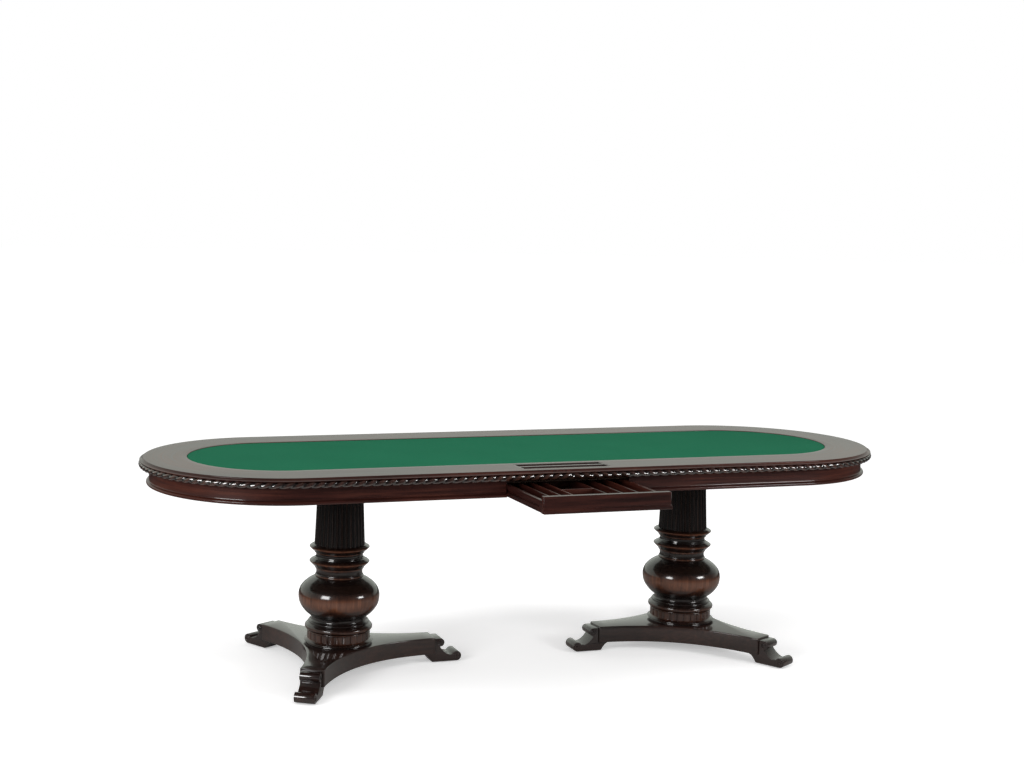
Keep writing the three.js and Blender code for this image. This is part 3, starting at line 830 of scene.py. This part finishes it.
def foot_outline(sole, ledge, outward):
    """Side view of a scroll foot: heel, sole, curled toe, hollow cove and upper roll."""
    heel = smooth_curve([(0.304, ledge), (0.313, ledge - 0.0022), (0.325, ledge - 0.0105), (0.339, sole)], 5)
    toe = arc(TOE_REACH, sole + TOE_RADIUS, TOE_RADIUS, -95, 146, 22)
    roll = arc(*UPPER_ROLL, -97, 92, 20)
    controls = (toe[-1], (0.411, 0.019), (0.381, 0.033), roll[0])
    cove = []
    for t in np.linspace(0, 1, 20)[1:-1]:
        u = 1 - t
        weights = (u ** 3, 3 * u * u * t, 3 * u * t * t, t ** 3)
        cove.append(tuple(sum(w * c[i] for w, c in zip(weights, controls)) for i in (0, 1)))
    back = [(outward, UPPER_ROLL[1] + UPPER_ROLL[2]), (outward, ledge)]
    return heel + [(0.345, sole)] + toe + cove + roll + back


def volute(work, centre, face, side, radius, start, turns=1.6, steps=40):
    """Adds a spiral ridge, carved in low relief on a scroll's end face, to a bmesh."""
    rows = []
    for i in range(steps + 1):
        share = i / steps
        angle = start + share * turns * 2 * math.pi
        r = radius * (1 - 0.78 * share)
        width = 0.0014 * (1 - 0.45 * share)
        height = 0.0014 * min(1.0, 8 * share, 8 * (1 - share) + 0.25)
        along = (math.cos(angle), math.sin(angle))
        row = []
        for offset, rise in ((-width, -0.0006), (-width * 0.6, height * 0.7), (0.0, height),
                             (width * 0.6, height * 0.7), (width, -0.0006)):
            row.append(work.verts.new((centre[0] + (r + offset) * along[0], face + side * rise,
                                       centre[1] + (r + offset) * along[1])))
        rows.append(row)
    skin(work, rows)


def button(work, centre, face, side, radius, steps=24):
    """Adds a low rounded boss, at the eye of a volute, to a bmesh."""
    rings = [(radius, -0.0006), (radius, 0.0005), (radius * 0.85, 0.0011), (radius * 0.5, 0.0014),
             (radius * 0.05, 0.0015)]
    skin(work, [round_row(work, centre, r, steps, lambda u, v: (u, face + side * h, v)) for r, h in rings])


def place_on_leg(obj, centre_x, angle):
    obj.data.transform(Matrix.Translation((centre_x, CENTRE_Y, 0)) @ Matrix.Rotation(angle, 4, "Z"))


def make_foot(name, centre_x, angle):
    half_width, bevel = 0.0345, 0.0014
    low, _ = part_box(f"scroll_foot_{name}")
    base_low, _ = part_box("tripod_base_" + name.split("_")[0])
    outline = foot_outline(low.z, base_low.z - TOUCH_GAP, SLAB_REACH + TOUCH_GAP)
    foot = prism(f"scroll_foot_{name}_carved", outline, -half_width, half_width, plane="XZ", bevel=bevel)
    work = bmesh.new()
    for centre, radius, start in ((UPPER_ROLL[:2], UPPER_ROLL[2] - 0.0030, math.pi / 2),
                                  ((TOE_REACH, low.z + TOE_RADIUS), TOE_RADIUS - 0.0032, -math.pi / 2)):
        for side in (-1, 1):
            volute(work, centre, side * (half_width - 0.0001), side, radius, start)
            button(work, centre, side * (half_width - 0.0001), side, 0.0026)
    bmesh.ops.recalc_face_normals(work, faces=work.faces)
    carving = bpy.data.meshes.new("carving")
    work.to_mesh(carving)
    work.free()
    joined = bmesh.new()
    joined.from_mesh(foot.data)
    joined.from_mesh(carving)
    joined.to_mesh(foot.data)
    joined.free()
    bpy.data.meshes.remove(carving)
    foot.data.attributes.remove(foot.data.attributes["grain"])
    add_grain(foot, 0)
    foot.data.polygons.foreach_set("use_smooth", [True] * len(foot.data.polygons))
    foot.data.set_sharp_from_angle(angle=math.radians(FOOT_SHARP))
    place_on_leg(foot, centre_x, angle)
    dress(foot, SCROLL, TABLE, "dark_wood", f"scroll_foot_{name}")


def make_glide(name):
    low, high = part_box(f"glide_{name}")
    centre = ((low.x + high.x) / 2, (low.y + high.y) / 2)
    radius = (high.x - low.x) / 2
    profile = [(radius - 0.0008, low.z), (radius, low.z + 0.0008), (radius, high.z - 0.0006),
               (radius - 0.0006, high.z)]
    glide = revolve(f"glide_{name}_pad", profile, centre=centre, steps=32, bore=0.0022)
    dress(glide, PAD, TABLE, "glide_pad", f"glide_{name}")


def make_pedestal(name, turn):
    shaft_low, shaft_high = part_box(f"fluted_shaft_{name}")
    column_low, column_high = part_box(f"turned_column_{name}")
    ring_low, ring_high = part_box(f"reeded_base_{name}")
    slab_low, slab_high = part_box(f"tripod_base_{name}")
    centre = ((shaft_low.x + shaft_high.x) / 2, CENTRE_Y)
    z0, z1 = shaft_low.z, shaft_high.z
    wide, narrow = 0.0885, 0.078

    heights = sorted(set(np.linspace(z0, z1, 14)) | {z1 - 0.022 + k * 0.002 for k in range(8)})
    bow = lambda z: wide + (narrow - wide) * ((z - z0) / (z1 - z0)) ** 0.9
    # The whole shaft gets a low painted light and shade value: painted shade, near black, for a shaft in the
    # table's shadow.
    shaft = revolve(f"shaft_{name}", [(bow(z), z) for z in heights], shaft_relief(z1), lambda z: 0.16,
                    centre, FLUTES * 10, sharp=50)
    dress(shaft, TURNED, TABLE, "dark_wood", f"fluted_shaft_{name}")

    column = revolve(f"column_{name}", column_profile(column_low.z, column_high.z), None, column_painted_light_and_shade, centre)
    dress(column, TURNED, TABLE, "dark_wood", f"turned_column_{name}")

    b, t = ring_low.z, ring_high.z
    ring = [(0.112, b), (0.1145, b + 0.0012), (0.1148, b + 0.003), (0.1138, b + 0.0044)]
    ring += [(0.1150, b + 0.0052), (0.1195, b + 0.0078), (0.1210, b + 0.0096), (0.1207, b + 0.0108)]
    ring += smooth_curve([(0.1180, b + 0.0128), (0.1145, b + 0.0150), (0.1120, b + 0.0163)], 3)
    ring += [(0.1112, b + 0.0172), (0.1106, b + 0.0176)]
    ring += [(0.1106, z) for z in np.linspace(b + 0.0182, t - 0.0060, 8)]
    ring += [(0.1106, t - 0.0054), (0.1116, t - 0.0044), (0.1120, t - 0.0030)]
    ring += [(0.1114, t - 0.0016), (0.1095, t - 0.0006), (0.107, t)]
    base = revolve(f"reeded_ring_{name}", ring, drum_relief(b + 0.018, t - 0.0058), drum_painted_light_and_shade, centre,
                   REEDS * 10, sharp=50)
    dress(base, TURNED, TABLE, "dark_wood", f"reeded_base_{name}")

    half_width, waist = 0.0425, 0.132
    outline = slab_outline(SLAB_REACH, half_width, waist)
    slab = prism(f"tripod_slab_{name}", outline, slab_low.z, slab_high.z, bevel=0.0030, segments=3)
    place_on_leg(slab, centre[0], turn)
    dress(slab, DARK, TABLE, "dark_wood", f"tripod_base_{name}")

    for leg in range(3):
        make_foot(f"{name}_{leg + 1}", centre[0], turn + leg * 2 * math.pi / 3)
        make_glide(f"{name}_{leg + 1}")

    low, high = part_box(f"mounting_plate_{name}")
    plate = bevelled_board(f"mounting_plate_{name}_board", low, high, 0.002, 0)
    dress(plate, PLY, TABLE, "hidden_wood", f"mounting_plate_{name}")
    make_screws(name, low, high)


def make_screws(name, low, high):
    """Round screw heads near the corners and edges of a mounting plate."""
    inset, head, sink = 0.025, 0.0055, 0.0020
    xs = (low.x + inset, (low.x + high.x) / 2, high.x - inset)
    ys = (low.y + inset, (low.y + high.y) / 2, high.y - inset)
    middle = (xs[1], ys[1])
    work = bmesh.new()
    steps = 20
    for x in xs:
        for y in ys:
            if (x, y) == middle:
                continue
            rings = [(head, 0.0), (head * 0.85, -sink * 0.6), (head * 0.5, -sink), (head * 0.14, -sink),
                     (head * 0.10, -sink * 0.4)]
            skin(work, [round_row(work, (x, y), r, steps, lambda u, v: (u, v, low.z + h))
                        for r, h in rings])
    screws = from_bmesh(f"plate_screws_{name}", work, sharp=30)
    dress(screws, STEEL, TABLE, "steel")


# ---- Parts that stay as the frame has them ----
def dress_kept_nodes():
    kept = {"drawer_runner_left": PLY_NODE, "drawer_runner_right": PLY_NODE}
    for name in ("left", "right"):
        kept[f"tie_rod_{name}"] = STEEL
        kept[f"tie_rod_nut_{name}"] = STEEL
    for node, material in kept.items():
        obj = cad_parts[node]
        obj.data.materials.clear()
        obj.data.materials.append(material)
    for node in ("drawer_top_rail", "drawer_stop"):
        low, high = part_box(node)
        dress(bevelled_board(node + "_board", low, high, 0.0015, 0), PLY, TABLE, "hidden_wood", node)


# ---- Stage, lights and camera ----
HALF_TABLE_FLOOR = 0.7
FLOOR_FADE = 2.5
FLOOR_GLOW = 0.38


def make_stage():
    """A pale floor that reads white, and that darkens away from the table in reflections."""
    bpy.ops.mesh.primitive_circle_add(vertices=96, radius=60, fill_type="NGON", location=(0, 0, -0.0005))
    floor = bpy.context.object
    floor.name = "floor"
    n = Nodes(bpy.data.materials.new("pale_floor"))
    ray = n.add("LightPath")
    place = n.add("SeparateXYZ", {"Vector": n.add("TexCoord").outputs["Object"]})
    beyond = n.math("MAXIMUM", n.math("SUBTRACT", n.math("ABSOLUTE", place.outputs["X"]), HALF_TABLE_FLOOR))
    across = n.math("ABSOLUTE", n.math("SUBTRACT", place.outputs["Y"], CENTRE_Y))
    away = n.math("SQRT", n.math("ADD", n.math("POWER", beyond, 2.0), n.math("POWER", across, 2.0)))
    shades = [(0.10, (0.50, 0.48, 0.46)), (0.42, (0.26, 0.25, 0.24)), (0.85, (0.05, 0.05, 0.05))]
    mirrored = n.ramp(n.math("DIVIDE", away, FLOOR_FADE), shades)
    n.link(n.mix(ray.outputs["Is Glossy Ray"], (0.92, 0.92, 0.92), mirrored), "Base Color")
    n.shader.inputs["Roughness"].default_value = 0.9
    n.shader.inputs["Specular IOR Level"].default_value = 0.0
    n.shader.inputs["Emission Color"].default_value = (1, 1, 1, 1)
    n.link(n.math("MULTIPLY", ray.outputs["Is Camera Ray"], FLOOR_GLOW), "Emission Strength")
    floor.data.materials.append(n.owner)


def make_surround():
    """White to the camera, grey to the light, and dark in front and bright behind in reflections."""
    world = bpy.data.worlds.new("studio")
    bpy.context.scene.world = world
    n = Nodes(world, "Background")
    ray = n.add("LightPath")
    direction = n.add("SeparateXYZ", {"Vector": n.add("TexCoord").outputs["Generated"]})
    behind = n.add("MapRange", {"Value": direction.outputs["Y"], "From Min": -0.5, "From Max": 0.8},
                   interpolation_type="SMOOTHSTEP").outputs["Result"]
    mirrored = n.mix(behind, (0.03, 0.03, 0.03), (0.67, 0.71, 0.65))
    unseen = n.mix(ray.outputs["Is Glossy Ray"], (0.7, 0.7, 0.7), mirrored)
    n.link(n.mix(ray.outputs["Is Camera Ray"], unseen, (1.0, 1.0, 1.0)), "Color")


def make_lights():
    soft_box("soft_box_left", (-4.0, CENTRE_Y - 2.3, 1.9), (1.7, 1.4), 98)
    soft_box("soft_box_right", (2.3, CENTRE_Y - 2.5, 1.5), (1.0, 0.6), 32)
    soft_box("overhead_box", (0.0, CENTRE_Y - 0.4, 3.3), (3.0, 1.6), 42, False)


def soft_box(name, place, size, power, mirrored=True):
    light = bpy.data.lights.new(name, "AREA")
    light.shape = "RECTANGLE"
    light.size, light.size_y = size
    light.energy = power
    obj = bpy.data.objects.new(name, light)
    obj.location = place
    aim = Vector((0, CENTRE_Y, 0.3)) - Vector(place)
    obj.rotation_euler = aim.to_track_quat("-Z", "Y").to_euler()
    obj.visible_camera = False
    obj.visible_glossy = mirrored
    bpy.context.scene.collection.objects.link(obj)


def make_camera():
    """The photograph's viewing angle: from the dealer's side, left of centre and a little above the top."""
    place = Vector((-2.1371, CENTRE_Y - 5.122, 1.590))
    heading, down, roll = math.radians(16.579), math.radians(4.018), math.radians(0.910)
    data = bpy.data.cameras.new("camera")
    data.sensor_width = 36
    data.lens = 54.18
    data.shift_x, data.shift_y = 0.15, -0.06
    camera = bpy.data.objects.new("camera", data)
    ahead = Vector((math.sin(heading) * math.cos(down), math.cos(heading) * math.cos(down), -math.sin(down)))
    level = ahead.to_track_quat("-Z", "Y").to_matrix().to_4x4()
    camera.matrix_world = Matrix.Translation(place) @ level @ Matrix.Rotation(roll, 4, "Z")
    bpy.context.scene.collection.objects.link(camera)
    bpy.context.scene.camera = camera
    bpy.context.scene.view_settings.view_transform = "Standard"


make_camera()
make_rail()
make_rope()
make_skirt()
make_panel()
make_felt()
make_chip_tray()
make_drawer()
make_pedestal("left", 0.0)
make_pedestal("right", math.pi)
dress_kept_nodes()
make_stage()
make_surround()
make_lights()

bpy.context.view_layer.update()
